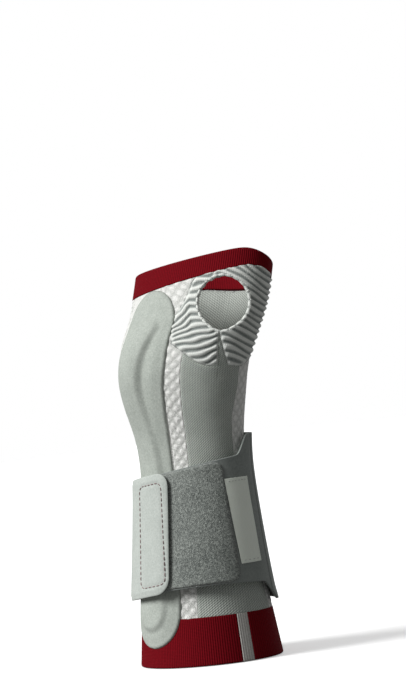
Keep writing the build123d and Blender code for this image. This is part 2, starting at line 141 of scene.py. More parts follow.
# Strap
WING_SHIFT = 1.5
WING_CLEAR = (2.5, 4.1, 0.8)  # off the knit at the sides, the palm and the back
TAB_OVER_WING = 2.9
STRAP_FOOT = (34.6, 0.092, -0.092)  # slanted planes, as the palm rim's are
STRAP_HEAD = (96.8, 0.127, 0.057)
BASE_FOOT, BASE_HEAD = 27.5, 111.0
FLARE_FOOT = ((1.5, 42.0), (14.5, BASE_FOOT))  # seen from the thumb side: the flare's two slopes
FLARE_HEAD = ((-6.5, 95.0), (4.5, BASE_HEAD))
WING_TURNS = (-38.0, 113.0)
BASE_TURNS = (113.0, 266.6)
WING_FLAT, BASE_FLAT = 66.0, 82.0  # heights of the two parts of the strap, laid flat
TURNED_UNDER = 1.1  # more cloth than shows, for the turned edges
STAND_OFF = 0.4  # how far the strap's tall back lifts off the sleeve near its edges
ANCHOR_TURNS = (152.0, 208.0)
LOOP_START = -37.0
LOOP_INSET = 0.6
LOOP_END = -10.5  # seen from the thumb side
LOOP_CORNER = 5.0
LABEL_SIZE = (13.0, 42.3)
LABEL_MIDDLE = (-4.0, 69.1)  # seen from the thumb side
LABEL_TILT = np.tan(np.radians(2.5))
LABEL_SEWN = 0.465  # the label's sewn rows, in its own height from its middle
TAB_TURNS = (-96.0, 30.0)
TAB_FOOT, TAB_HEAD = 36.5, 95.7  # in front of the forearm's axis
TAB_RISE = 0.118
TAB_END = 9.8
TAB_CORNER = 7.0
TAB_FLAT_END = 17.5  # the turn that the tab's end reaches, on average
HOOK_TURNS = (-24.5, 8.0)
HOOK_INSET = 3.5
HOOK_PEGS = (12, 34)
BOX_LEFT = (-17.0, -23.0)  # turns at its foot and its head
BOX_RIGHT = (11.0, 6.5)
BOX_INSET = 4.6
BOX_CORNER = 3.8


# ---------------- shape of the arm


def smooth(x, low, high):
    f = np.clip((x - low) / (high - low), 0, 1)
    return f * f * (3 - 2 * f)


def curve(x, knots, values):
    """A smooth cubic through values at knots, level with the ends outside them."""
    knots, values = np.asarray(knots, float), np.asarray(values, float)
    x = np.clip(x, knots[0], knots[-1])
    i = np.clip(np.searchsorted(knots, x, "right") - 1, 0, len(knots) - 2)
    longer_values, longer_knots = np.pad(values, 1, "edge"), np.pad(knots, 1, "edge")
    slopes = (longer_values[2:] - longer_values[:-2]) / (longer_knots[2:] - longer_knots[:-2])
    span = knots[i + 1] - knots[i]
    f = (x - knots[i]) / span
    rise = smooth(f, 0, 1)
    bend = f * (1 - f) ** 2 * slopes[i] - f * f * (1 - f) * slopes[i + 1]
    return values[i] * (1 - rise) + values[i + 1] * rise + bend * span


def section(z):
    heights, *tracks = zip(*SECTIONS)
    cx, cy, rx, ry = (curve(z, heights, track) for track in tracks)
    return cx + ARM[0], cy + ARM[1], rx, ry


def knit(z, out):
    cx, cy, rx, ry = section(z)
    return cx, cy, rx + out, ry + out


def wing(z, out):
    side, palm, back = WING_CLEAR
    lift = (palm - back) / 2
    cx, cy, rx, ry = section(z)
    return cx + WING_SHIFT, cy - lift, rx + side + out, ry + back + lift + out


def tab(z, out):
    cx, cy, rx, ry = wing(z, out)
    return cx, cy - TAB_OVER_WING / 2, rx, ry + TAB_OVER_WING / 2


def on(outline, turn, z, out=0.0):
    """Points on an outline, moved out from it."""
    turn, z, out = np.broadcast_arrays(turn, z, out)
    cx, cy, rx, ry = outline(z.astype(float), out)
    t = np.radians(turn)
    return np.stack([cx + rx * np.sin(t), cy - ry * np.cos(t), z], -1)


def soft_least(values, soft=0.8):
    """The least of some values, rounded off where they cross."""
    values = np.stack(np.broadcast_arrays(*values))
    least = values.min(0)
    return least - soft * np.log(np.exp((least - values) / soft).sum(0))


def slanted(plane, x, y):
    height, to_thumb, to_back = plane
    return height + to_thumb * (x - ARM[0]) + to_back * (y - ARM[1])


def roof(planes, x, y):
    """The lowest of some slanted planes."""
    return soft_least([slanted(plane, x, y) for plane in planes], 1.5)


# Distance round the arm at a middling section, so that turns and millimetres can be exchanged
MIDDLING = (34.0, 24.5)
_turns = np.linspace(-400, 400, 6401)
_angles = np.radians(_turns)
_runs = np.hypot(MIDDLING[0] * np.cos(_angles), MIDDLING[1] * np.sin(_angles))
_arcs = np.cumsum(_runs) * np.radians(_turns[1] - _turns[0])
_arcs -= np.interp(0, _turns, _arcs)


def arc_of(turn):
    return np.interp(turn, _turns, _arcs)


def turn_of(arc):
    return np.interp(arc, _arcs, _turns)


WHOLE = arc_of(180) - arc_of(-180)


def carried_round(corner_arcs):
    """Arcs at the corners of faces, counted on past 180 degrees where a face lies across it."""
    behind = corner_arcs < corner_arcs.max(1, keepdims=True) - WHOLE / 2
    return corner_arcs + np.where(behind, WHOLE, 0)


def border(knots, z):
    heights, turns = zip(*knots)
    return np.interp(z, heights, turns)


def thumb_view(turn, z):
    """A point of the knit as seen square on from the thumb: across, and nearness to the viewer."""
    x, y, _ = np.moveaxis(on(knit, turn, z) - ARM, -1, 0)
    across = x * np.cos(THUMB_TURN) + y * np.sin(THUMB_TURN)
    near = x * np.sin(THUMB_TURN) - y * np.cos(THUMB_TURN)
    return across, near


def turn_at(across, z):
    """The turn of the knit's near side at a place in the view from the thumb."""
    cx, cy, rx, ry = section(z)
    a, b = rx * np.cos(THUMB_TURN), ry * np.sin(THUMB_TURN)
    middle = (cx - ARM[0]) * np.cos(THUMB_TURN) + (cy - ARM[1]) * np.sin(THUMB_TURN)
    return np.degrees(np.arctan2(b, a) + np.arcsin(np.clip((across - middle) / np.hypot(a, b), -1, 1)))


# ---------------- meshes


def new_object(name, mesh):
    made = bpy.data.objects.new(name, mesh)
    bpy.context.scene.collection.objects.link(made)
    return made


def mesh_of(name, points, faces, uv=None, marks=None):
    """An object from points in mm, with faces as index rows, a map in mm and numbers at its points."""
    used, index = np.unique(faces, return_inverse=True)
    faces = index.reshape(np.shape(faces))
    mesh = bpy.data.meshes.new(name)
    mesh.from_pydata((points.reshape(-1, 3)[used] * MM).tolist(), [], faces.tolist())
    if uv is not None:
        uv = uv.reshape(-1, 2)
        layer = mesh.uv_layers.new(name="mm")
        corners = uv if len(uv) == faces.size else uv[used][faces.ravel()]
        layer.data.foreach_set("uv", corners.astype(np.float32).ravel())
    for key, values in (marks or {}).items():
        attribute = mesh.attributes.new(key, "FLOAT", "POINT")
        attribute.data.foreach_set("value", values[used].astype(np.float32))
    mesh.shade_smooth()
    mesh.validate()
    return new_object(name, mesh)


def quads(rows, columns, wrap=False):
    """Faces of a grid of points, row by row."""
    index = np.arange(rows * columns).reshape(rows, columns)
    right = np.roll(index, -1, 1)
    if not wrap:
        index, right = index[:, :-1], right[:, :-1]
    return np.stack([index[:-1], right[:-1], right[1:], index[1:]], -1).reshape(-1, 4)


def tube(spine, ahead, out, wide, around, tall=1.0):
    """Rings of points round a spine: wide across it, and tall times that outwards."""
    ahead = ahead / np.linalg.norm(ahead, axis=1, keepdims=True)
    side = np.cross(ahead, out)
    side /= np.linalg.norm(side, axis=1, keepdims=True)
    out = np.cross(side, ahead)
    ring = np.linspace(0, 2 * np.pi, around, endpoint=False)[None, :, None]
    round_it = np.cos(ring) * side[:, None] + tall * np.sin(ring) * out[:, None]
    return (spine[:, None] + wide[:, None, None] * round_it).reshape(-1, 3)


def settle(first, second, inside, step):
    """Moves grid points at the edge of a shape onto the line where inside() is zero."""
    for _ in range(3):
        value = inside(first, second)
        small = 0.05
        slope_1 = (inside(first + small, second) - value) / small
        slope_2 = (inside(first, second + small) - value) / small
        share = value / np.maximum(slope_1**2 + slope_2**2, 0.05)
        share = np.clip(share, -step, step)
        first, second = first - share * slope_1, second - share * slope_2
    return first, second


def cut_out(inside, low, high):
    """A grid between two corners: its places and kept faces, its edge drawn onto a shape's outline."""
    first, second = np.meshgrid(*(np.arange(*ends, SHEET_STEP) for ends in zip(low, high)))
    faces = quads(*first.shape)
    centre = first.ravel()[faces].mean(1), second.ravel()[faces].mean(1)
    keep = inside(*centre) > 0
    used, total = (np.bincount(some.ravel(), minlength=first.size) for some in (faces[keep], faces))
    edge = (used > 0) & (used < total)
    a, b = first.ravel().copy(), second.ravel().copy()
    a[edge], b[edge] = settle(a[edge], b[edge], inside, SHEET_STEP * 0.7)
    return a, b, faces[keep]


def distance_inside(x, z, outline):
    """Signed distance from a closed outline, more than 0 inside it."""
    spots = np.stack([np.ravel(x), np.ravel(z)], -1)
    least = np.full(len(spots), np.inf)
    crossings = np.zeros(len(spots), int)
    for start, end in zip(outline, np.roll(outline, -1, 0)):
        off, run = spots - start, end - start
        along = np.clip(off @ run / max(run @ run, 1e-9), 0, 1)
        least = np.minimum(least, np.linalg.norm(off - along[:, None] * run, axis=1))
        level = (spots[:, 1] >= start[1]) != (spots[:, 1] >= end[1])
        crossings += level & (off[:, 0] * abs(run[1]) < off[:, 1] * run[0] * np.sign(run[1]))
    return np.where(crossings % 2 == 1, least, -least).reshape(np.shape(x))


def thicken(piece, thick, rounding=0.0):
    """Gives a skin a thickness inwards and rounds its edges, for good."""
    solid = piece.modifiers.new("thick", "SOLIDIFY")
    solid.thickness, solid.offset = thick * MM, -1
    if rounding:
        bevel = piece.modifiers.new("edge", "BEVEL")
        bevel.width, bevel.segments = rounding * MM, 2
        bevel.limit_method, bevel.angle_limit = "ANGLE", np.radians(50)
    done = bpy.data.meshes.new_from_object(piece.evaluated_get(bpy.context.evaluated_depsgraph_get()))
    piece.modifiers.clear()
    piece.data = done
    return piece


def put(piece, body, node, material):
    """Gives a piece its material and its node's place, on one body if one is given."""
    piece.data.materials.clear()
    piece.data.materials.append(material)
    if body:
        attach(piece, body)
    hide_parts(node)


def put_cloth(piece, body, node, material, flat, area=None):
    """Puts a sheet of cloth in its place and works out its flat sides and area in mm, which go no further."""
    put(piece, body, node, material)
    wide, tall = (max(side, LEAST_SIDE) for side in flat)
    area = np.clip(area or flat[0] * flat[1], LEAST_SHARE * wide * tall, wide * tall)
    wide * MM
    tall * MM
    area * MM * MM


# ---------------- materials


def fill(tree, place, value):
    """Sets a socket to a constant, or links another socket to it."""
    if isinstance(value, (Number, bpy.types.NodeSocket)):
        tree.links.new(getattr(value, "socket", value), place)
    else:
        place.default_value = value


def add_node(tree, kind, inputs=(), **settings):
    made = tree.nodes.new("ShaderNode" + kind)
    for key, value in settings.items():
        setattr(made, key, value)
    for key, value in dict(inputs).items():
        fill(tree, made.inputs[key], value)
    return made


class Number:
    """A number in a material's node tree, so that a pattern reads as a formula."""

    def __init__(self, tree, socket):
        self.tree, self.socket = tree, socket

    def math(self, operation, *others):
        made = add_node(self.tree, "Math", enumerate((self, *others)), operation=operation)
        return Number(self.tree, made.outputs[0])

    def __add__(self, other):
        return self.math("ADD", other)

    def __sub__(self, other):
        return self.math("SUBTRACT", other)

    def __mul__(self, other):
        return self.math("MULTIPLY", other)

    def __truediv__(self, other):
        return self.math("DIVIDE", other)

    def wave(self):
        """From 0 to 1 and back for each whole step of the number."""
        return self.math("MULTIPLY", 2 * np.pi).math("COSINE") * -0.5 + 0.5

    def ramp(self, low, high, start=0.0, end=1.0):
        inputs = {"Value": self, "From Min": low, "From Max": high, "To Min": start, "To Max": end}
        made = add_node(self.tree, "MapRange", inputs, interpolation_type="SMOOTHSTEP")
        return Number(self.tree, made.outputs[0])


class Cloth:
    """A fabric material: two tones and a relief, each worked out from a formula in millimetres."""

    def __init__(self, name, rough=0.9, sheen=0.25, metal=0.0, specular=0.25):
        self.material = bpy.data.materials.new(name)
        self.material.use_nodes = True
        self.tree = self.material.node_tree
        self.shader = next(n for n in self.tree.nodes if n.type == "BSDF_PRINCIPLED")
        self.shade("Roughness", rough)
        self.shade("Sheen Weight", sheen)
        self.shade("Sheen Roughness", 0.6)
        self.shade("Specular IOR Level", specular)
        self.shade("Metallic", metal)

    def shade(self, key, value):
        fill(self.tree, self.shader.inputs[key], value)

    def map(self):
        """The piece's own map, round the arm and up it, in mm."""
        place = add_node(self.tree, "UVMap", uv_map="mm")
        split = add_node(self.tree, "SeparateXYZ", {0: place.outputs[0]})
        return Number(self.tree, split.outputs[0]), Number(self.tree, split.outputs[1])

    def mark(self, name):
        return Number(self.tree, add_node(self.tree, "Attribute", attribute_name=name).outputs["Fac"])

    def noise(self, size, detail=2.0, stretch=(1.0, 1.0, 1.0), rough=0.5):
        """Noise with features of a size in mm, in the object's own frame."""
        scale = tuple(v / (size * MM) for v in stretch)
        place = add_node(self.tree, "TexCoord").outputs["Object"]
        place = add_node(self.tree, "Mapping", {"Scale": scale, "Vector": place}).outputs[0]
        inputs = {"Vector": place, "Scale": 1.0, "Detail": detail, "Roughness": rough}
        return Number(self.tree, add_node(self.tree, "TexNoise", inputs).outputs["Fac"])

    def mottle(self, size, amount):
        """Noise of a size in mm, as far above 0 as below it."""
        return self.noise(size).ramp(0.3, 0.7, -amount, amount)

    def colour(self, tone, dark, light):
        inputs = {"Factor": tone, "A": linear(dark), "B": linear(light)}
        self.shade("Base Color", add_node(self.tree, "Mix", inputs, data_type="RGBA").outputs["Result"])

    def relief(self, height, depth):
        """A bumpy surface, from a height between 0 and 1 and its depth in mm."""
        bump = add_node(self.tree, "Bump", {"Distance": depth * MM, "Height": height})
        self.shade("Normal", bump.outputs[0])


def linear(colour):
    """A colour given as display values from 0 to 255."""
    c = np.array(colour) / 255
    c = np.where(c <= 0.04045, c / 12.92, ((c + 0.055) / 1.055) ** 2.4)
    return (*c, 1.0)


def stitches(u, v, wale, course):
    """Plain knit: columns of V-shaped stitches. Returns its height, from 0 to 1."""
    across = ((u / wale).math("FRACT") - 0.5).math("ABSOLUTE") * 2
    slant = (v / course + across * 0.55).wave()
    groove = across.ramp(0.55, 1.0, 1.0, 0.0)
    return slant * 0.55 + groove * 0.45


def jersey():
    cloth = Cloth("grey_jersey", 0.88, 0.2)
    u, v = cloth.map()
    twill = ((v - u * 0.75) / 1.2).wave() * 0.7 + (u / 1.3).wave() * 0.3
    knit_height = twill * 0.85 + stitches(u, v, 1.25, 0.95) * 0.15
    blotch = cloth.mottle(9.0, 0.06)
    fuzz = cloth.mottle(0.5, 0.12)
    cloth.colour(knit_height + blotch + fuzz, (130, 136, 130), (202, 208, 200))
    cloth.relief(knit_height + fuzz * 0.5, 0.26)
    return cloth.material


def honeycomb():
    cloth = Cloth("white_honeycomb", 0.92, 0.2)
    u, v = cloth.map()
    # The point mark named relief is painted shade: the colour darkens in the hollows between the raised
    # cells. The same mark also adds to the bump.
    cell = cloth.mark("relief")
    yarn = ((u + v * 0.6) / 0.8).wave() * ((u - v * 0.6) / 0.8).wave()
    fuzz = cloth.mottle(0.45, 0.26)
    cloth.colour(cell.ramp(0.05, 0.7, 0.3, 0.9) + yarn * 0.25 + fuzz, (200, 203, 197), (255, 255, 251))
    cloth.relief(yarn * 0.5 + cell * 0.8 + fuzz, 0.35)
    return cloth.material


def ribbed():
    cloth = Cloth("ribbed_knit", 0.9, 0.2)
    u, v = cloth.map()
    # The point mark named relief is painted shade: the colour darkens into the valleys between the folds and
    # lightens on their crests.
    rib = cloth.mark("relief")
    yarn = stitches(u, v, 1.0, 0.8)
    fuzz = cloth.mottle(0.6, 0.08)
    cloth.colour(rib.ramp(0.08, 0.9, 0.0, 0.88) + yarn * 0.12 + fuzz, (124, 131, 128), (242, 245, 239))
    cloth.relief(yarn, 0.18)
    return cloth.material


def flat_knit(name, dark, light):
    cloth = Cloth(name, 0.9, 0.0, specular=0.08)
    u, v = cloth.map()
    cord = u.wave()
    course = (v / 0.7).wave()
    fuzz = cloth.mottle(0.6, 0.14)
    tone = cord * 0.4 + course * 0.25 + fuzz + 0.17
    cloth.colour(tone, dark, light)
    cloth.relief(cord * 0.8 + course * 0.3, 0.22)
    return cloth.material


def brushed(name, dark, light, sheen=0.35, depth=0.05):
    """Smooth brushed microfibre or laminated jersey, with a faint bloom."""
    cloth = Cloth(name, 0.85, sheen)
    bloom = cloth.noise(7.0).ramp(0.3, 0.7, 0.0, 0.15)
    nap = cloth.noise(0.9, 3.0).ramp(0.25, 0.75, 0.0, 0.5)
    fine = cloth.noise(0.35, 2.0).ramp(0.3, 0.7, 0.0, 0.35)
    cloth.colour(bloom + nap + fine, dark, light)
    cloth.relief(nap + fine, depth)
    return cloth.material


def velour():
    cloth = Cloth("loop_velour", 0.95, 0.4)
    flecks = cloth.noise(0.5, 2.0, rough=0.7).ramp(0.36, 0.66)
    light = cloth.noise(1.1, 1.0).ramp(0.45, 0.62)
    pile = cloth.noise(0.4, 2.0).ramp(0.3, 0.7)
    bloom = cloth.mottle(14.0, 0.06)
    cloth.colour(flecks * 0.55 + light * 0.3 + bloom, (90, 97, 93), (194, 201, 193))
    cloth.relief(pile * 0.6 + flecks * 0.6, 0.35)
    return cloth.material


def satin():
    cloth = Cloth("label_satin", 0.45, 0.4)
    u, v = cloth.map()
    weft = (v / 0.4).wave()
    warp = (u / 0.3).wave()
    cloth.colour(weft * 0.3 + warp * 0.2 + cloth.noise(3.0) * 0.4, (240, 250, 234), (252, 255, 247))
    cloth.relief(weft * 0.6 + warp * 0.4, 0.06)
    return cloth.material


def thread(name, dark, light):
    cloth = Cloth(name, 0.7, 0.2)
    strand = cloth.noise(0.25, 1.0, stretch=(1.0, 1.0, 0.35)).ramp(0.35, 0.65)
    cloth.colour(strand, dark, light)
    cloth.relief(strand, 0.06)
    return cloth.material


def hook_plastic():
    cloth = Cloth("hook_plastic", 0.45, 0.0)
    cloth.colour(cloth.noise(2.0).ramp(0.3, 0.7), (160, 166, 163), (190, 195, 191))
    cloth.relief(cloth.noise(0.5), 0.05)
    return cloth.material


def brushed_metal():
    cloth = Cloth("stay_aluminium", 0.35, 0.0, metal=1.0)
    grain = cloth.noise(0.4, 2.0, stretch=(1.0, 1.0, 0.03)).ramp(0.3, 0.7)
    cloth.colour(grain, (176, 179, 181), (205, 208, 210))
    cloth.shade("Roughness", grain * 0.15 + 0.28)
    cloth.relief(grain, 0.02)
    return cloth.material


def floor_paint():
    """Near-white paper that throws little light back up at the object."""
    cloth = Cloth("floor_paint", 0.95, 0.0)
    cloth.colour(cloth.noise(60.0).ramp(0.3, 0.7), (247, 247, 247), (250, 250, 250))
    cloth.shade("Emission Color", (1.0, 1.0, 1.0, 1.0))
    cloth.shade("Emission Strength", 0.35)
    dull = add_node(cloth.tree, "BsdfDiffuse", {"Color": (0.2, 0.2, 0.2, 1.0)})
    output = next(n for n in cloth.tree.nodes if n.type == "OUTPUT_MATERIAL")
    seen_or_lit(cloth.tree, cloth.shader, dull, output)
    return cloth.material


def seen_or_lit(tree, seen, lit, output):
    """Shows one shader itself, and lights the object with another."""
    ray = add_node(tree, "LightPath").outputs["Is Camera Ray"]
    mix = add_node(tree, "MixShader", {0: ray, 1: lit.outputs[0], 2: seen.outputs[0]})
    fill(tree, output.inputs["Surface"], mix.outputs[0])


GREY_JERSEY = jersey()
HONEYCOMB = honeycomb()
RIBBED = ribbed()
MAROON = flat_knit("maroon_knit", (84, 5, 13), (134, 10, 24))
STRIPE = flat_knit("stripe_knit", (158, 156, 151), (216, 214, 208))
POCKET_CLOTH = brushed("pocket_microfibre", (154, 161, 153), (194, 200, 192), sheen=0.1)
TAB_CLOTH = brushed("tab_laminate", (172, 179, 173), (202, 208, 202), sheen=0.15, depth=0.04)
STRAP_CLOTH = brushed("strap_laminate", (122, 128, 125), (150, 156, 152), sheen=0.1, depth=0.06)
VELOUR = velour()
SATIN = satin()
HOOKS = hook_plastic()
METAL = brushed_metal()
FOAM = brushed("backing_foam", (212, 212, 206), (232, 232, 226), depth=0.15)
PINK_THREAD = thread("pink_thread", (120, 92, 94), (176, 150, 150))
GREY_THREAD = thread("grey_thread", (70, 74, 73), (110, 114, 112))
PALE_THREAD = thread("label_thread", (180, 182, 178), (226, 228, 224))


# ---------------- knitted sleeve


def hole_radius(angle):
    """From the hole's middle to its edge, at an angle in radians."""
    more, middle, wide = HOLE_POINT
    off = (np.degrees(angle) - middle + 180) % 360 - 180
    return HOLE_RADIUS + more * np.exp(-((off / wide) ** 2))


def in_hole(turn, z):
    across, near = thumb_view(turn, z)
    right, up = across - HOLE[0], z - HOLE[1]
    inside = hole_radius(np.arctan2(up, right)) + WELT_RADIUS * 0.6 - np.hypot(right, up)
    return np.where(near > GUSSET_DEPTH, inside, OUTSIDE)


def above_cuff_line(turn, z):
    x, y, _ = np.moveaxis(on(knit, turn, z), -1, 0)
    return z - roof(PALM_CUFF_FOOT, x, y)


def in_tongue(turn, z):
    across, near = thumb_view(turn, z)
    drop = SEAM_TIP[1] - z
    left = across - (SEAM_TIP[0] - SEAM_SPREAD[0] * drop)
    right = (SEAM_TIP[0] + SEAM_SPREAD[1] * drop) - across
    inside = np.minimum(np.minimum(left, right), z - SEAM_FOOT)
    return np.where(near > 0, inside, OUTSIDE)


def in_gusset(turn, z):
    across, near = thumb_view(turn, z)
    foot = curve(across, *zip(*GUSSET_FOOT))
    return np.minimum(np.minimum(across - border(GUSSET_FRONT, z), z - foot), near - GUSSET_DEPTH)


def in_band(low, high, turn, z):
    wide = 0.45  # millimetres to a degree
    return np.minimum(turn - border(low, z), border(high, z) - turn) * wide


def knit_zones():
    """Each zone's piece and how far inside it a place is. An earlier zone wins over a later one."""
    zones = [
        (None, in_hole),
        (None, above_cuff_line),
        (None, lambda turn, z: CUFF_TOP - z),
        ("radial_knit_panel", in_tongue),
        ("thumb_gusset", in_gusset),
    ]
    for name, low, high in BANDS:
        zones.append((name, lambda turn, z, low=low, high=high: in_band(low, high, turn, z)))
    for name, low, high in PANELS:
        zones.append((name, lambda turn, z, low=low, high=high: np.minimum(turn - low, high - turn)))
    zones.append(("dorsal_knit_panel", lambda turn, z: np.ones_like(turn)))
    return zones


def rib_relief(turn, z):
    """The gusset's folds: their height, and a tone that paints shade into the valleys between them and light
    onto their crests, both from 0 to 1.

    They rise to the seam under the hole from the palm side and fall away from it to the back, and
    beside the hole they are finer and climb from the pocket before they level.
    """
    across, _ = thumb_view(turn, z)
    beside = across - SEAM_TIP[0] + SEAM_SPREAD[0] * np.maximum(SEAM_TIP[1] - z, 0)
    low = 0.06 * beside + RIB_LIFT * np.exp(-((beside / 3.5) ** 2))
    climb = 0.8 * np.minimum(across - SIDE_SEAM, 0) - 1.6
    upper = smooth(z, *SIDE_RIBS)
    palm = low * (1 - upper) + climb * upper
    back = RIB_LIFT - 0.1 * beside - 0.034 * beside**2 + 0.0004 * beside**3
    sway = 0.28 * np.sin(0.55 * across + 0.21 * z) + 0.2 * np.sin(0.9 * z + 0.3 * across)
    level = z - np.where(beside > 0, back, palm) + sway
    rib = (0.5 - 0.5 * np.cos(2 * np.pi * level / RIB_PITCH)) ** 0.85
    seam = smooth(np.abs(beside) + np.where(z > HOLE[1], 0, 9), 0.0, 1.2)
    edge = smooth(in_gusset(turn, z), 0.0, 2.0) * smooth(-in_tongue(turn, z), -0.2, 1.0) * seam
    # The tone is painted shade: dark in the valleys and light on the crests, fading to an even 0.75 at the
    # gusset's edges and seam.
    return rib * edge, 0.75 + (rib - 0.75) * edge


def cell_relief(low, high, turn, z):
    """Staggered raised cells across a honeycomb band: their height, and a tone that paints shade into the
    hollows between them, both from 0 to 1.
    """
    share = (turn - border(low, z)) / (border(high, z) - border(low, z))
    columns = (arc_of(border(high, z)) - arc_of(border(low, z))) / CELL_WIDE * share
    uneven = 0.05 * np.sin(1.7 * z + 9 * share)
    rows = z / CELL_TALL + uneven
    cell = np.abs(np.sin(np.pi * (columns + rows)) * np.sin(np.pi * (columns - rows))) ** 1.3
    edge = smooth(np.minimum(share, 1 - share), -0.02, 0.06)
    # The tone is painted shade: darker in the hollows between the cells, fading to an even 0.6 at the band's
    # borders.
    return cell * edge, 0.6 + (cell - 0.6) * edge


def make_knit():
    """The whole knitted tube on one grid, cut along the borders of its zones."""
    columns = round(WHOLE / KNIT_STEP)
    step = WHOLE / columns
    arcs = arc_of(-180) + step * np.arange(columns)
    heights = np.arange(CUFF_TOP - 2, PALM_RIM[0][0] + 6, KNIT_STEP)
    arc, z = (grid.copy() for grid in np.meshgrid(arcs, heights))
    faces = quads(*arc.shape, wrap=True)

    zones = knit_zones()
    middle = turn_of(carried_round(arc.ravel()[faces]).mean(1)), z.ravel()[faces].mean(1)
    depth = np.stack([inside(*middle) for _, inside in zones])
    zone = np.argmax(depth > 0, axis=0)

    # A point between two zones goes onto the border of the one that wins.
    first, last = np.full(arc.size, len(zones)), np.full(arc.size, -1)
    np.minimum.at(first, faces, zone[:, None])
    np.maximum.at(last, faces, zone[:, None])
    flat_arc, flat_z = arc.ravel(), z.ravel()
    for k, (_, inside) in enumerate(zones):
        edge = (first == k) & (last > k)
        flat_arc[edge], flat_z[edge] = settle(
            flat_arc[edge], flat_z[edge], lambda a, h: inside(turn_of(a), h), step * 0.7
        )
    turn = turn_of(flat_arc)

    # tone is the colour mark of the ribbed and honeycomb materials: painted shade in the hollows of the
    # gusset's folds and of the cells, and a plain tone on the palm panel.
    relief, tone, tall = np.zeros((3, len(turn)))
    for k, (name, _) in enumerate(zones):
        mine = (first <= k) & (last >= k)
        if name == "palmar_knit_panel":
            tone[mine] = 0.45
        if name == "thumb_gusset":
            ribs, ribs_painted_shade = rib_relief(turn, flat_z)
            relief[mine], tone[mine], tall[mine] = ribs[mine], ribs_painted_shade[mine], RIB_TALL
        for band, low, high in BANDS:
            if name == band:
                cells, cells_painted_shade = cell_relief(low, high, turn, flat_z)
                relief[mine], tone[mine], tall[mine] = cells[mine], cells_painted_shade[mine], CELL_PROUD
    points = on(knit, turn, flat_z, relief * tall - RELIEF_SINK * (tall > 0))

    corner_arc = carried_round(flat_arc[faces])
    corner_map = np.stack([corner_arc, flat_z[faces]], -1)
    names = np.array([name or "" for name, _ in zones])[zone]
    for name in sorted(set(names) - {""}):
        mine = names == name
        # The point mark named relief carries the tone, with its painted shade.
        piece = mesh_of(name + "_cloth", points, faces[mine], corner_map[mine], {"relief": tone})
        thicken(piece, KNIT_THICK)
        gather = RIB_GATHER if name == "thumb_gusset" else 1.0
        # The panel on the back lies across the turn of 180 degrees, so its arcs start from 0.
        arcs = corner_arc[mine] % WHOLE if name == "dorsal_knit_panel" else corner_arc[mine]
        flat = np.ptp(arcs), np.ptp(flat_z[faces[mine]]) * gather
        white = "honeycomb" in name or name == "palmar_knit_panel"
        material = RIBBED if name == "thumb_gusset" else HONEYCOMB if white else GREY_JERSEY
        put_cloth(piece, "sleeve", name, material, flat, area=mine.sum() * step * KNIT_STEP * gather)


def make_welt():
    """The gusset's edge turned round the thumb hole, with its folds carried over it."""
    count, around = 264, 14
    angle = np.linspace(0, 2 * np.pi, count, endpoint=False)
    radius = hole_radius(angle) + WELT_RADIUS * 0.7
    height = HOLE[1] + radius * np.sin(angle)
    turn = turn_at(HOLE[0] + radius * np.cos(angle), height)
    spine = on(knit, turn, height, -WELT_SINK)
    ahead = np.roll(spine, -1, 0) - np.roll(spine, 1, 0)
    out = on(knit, turn, height, 1.0) - on(knit, turn, height, 0.0)
    folds = np.abs(np.sin(WELT_FOLDS / 2 * angle + 0.4)) ** 0.6
    points = tube(spine, ahead, out, WELT_RADIUS * (0.75 + 0.35 * folds), around, 1.25)
    faces = quads(count + 1, around, wrap=True) % (count * around)
    length = 2 * np.pi * HOLE_RADIUS
    ring = np.linspace(0, 2 * np.pi, around, endpoint=False)
    uv = np.stack(np.meshgrid(ring * WELT_RADIUS, angle * HOLE_RADIUS)[::-1], -1)
    # This relief mark is painted shade: darker in the hollows between the folds and lighter on them.
    relief = np.repeat(0.2 + 0.6 * folds, around)
    piece = mesh_of("thumb_welt_roll", points, faces, uv, {"relief": relief})
    put_cloth(piece, "sleeve", "thumb_welt", RIBBED, (length, LEAST_SIDE), area=length * WELT_STRIP)


def hem_profile(tall, outer, inner, top_round, foot_round):
    """A closed band in section: heights from 0 to tall and how far out each lies."""
    corners = (
        (foot_round, outer - foot_round, foot_round, -90, 0),
        (tall - top_round, outer - top_round, top_round, 0, 90),
        (tall - top_round, inner + top_round, top_round, 90, 180),
        (foot_round, inner + foot_round, foot_round, 180, 270),
    )
    points = []
    for height, out, radius, start, end in corners:
        a = np.radians(np.linspace(start, end, 6))
        points.append(np.stack([height + radius * np.sin(a), out + radius * np.cos(a)], -1))
    points = np.concatenate(points)
    dense = []
    for here, there in zip(points, np.roll(points, -1, 0)):
        pieces = max(1, round(np.linalg.norm(there - here) / 0.9))
        dense += [here + (there - here) * k / pieces for k in range(pieces)]
    return np.array(dense)


def cuff(name, node, material, profile, place, start, end):
    """A folded hem swept round the arm between two turns; place() puts a turn and a height on it."""
    whole = end - start >= 360
    count = round((arc_of(end) - arc_of(start)) / CUFF_STEP) + 1
    arcs = np.linspace(arc_of(start), arc_of(end), count)[: -1 if whole else None]
    turns = turn_of(arcs)
    points = place(turns[:, None], profile[None, :, 0], profile[None, :, 1])
    around, many = len(profile), len(turns)
    faces = quads(many + whole, around, wrap=True) % (many * around)
    along = np.cumsum(np.linalg.norm(np.roll(profile, -1, 0) - profile, axis=1))
    corner_map = np.stack([carried_round(arcs[faces // around]), profile[faces % around, 0]], -1)
    piece = mesh_of(name, points, faces, corner_map)
    if not whole:
        close_ends(piece, around)
    piece.data.flip_normals()
    run = np.ptp(arcs) + (CUFF_STEP if whole else 0)
    put_cloth(piece, "sleeve", node, material, (run * 1.02 + KNIT_THICK, along[-1] / 2))


def close_ends(piece, around):
    """Fills the two open ends of a swept band."""
    mesh = bmesh.new()
    mesh.from_mesh(piece.data)
    points = mesh.verts[:]
    mesh.faces.new(points[:around][::-1])
    mesh.faces.new(points[-around:])
    mesh.to_mesh(piece.data)
    mesh.free()


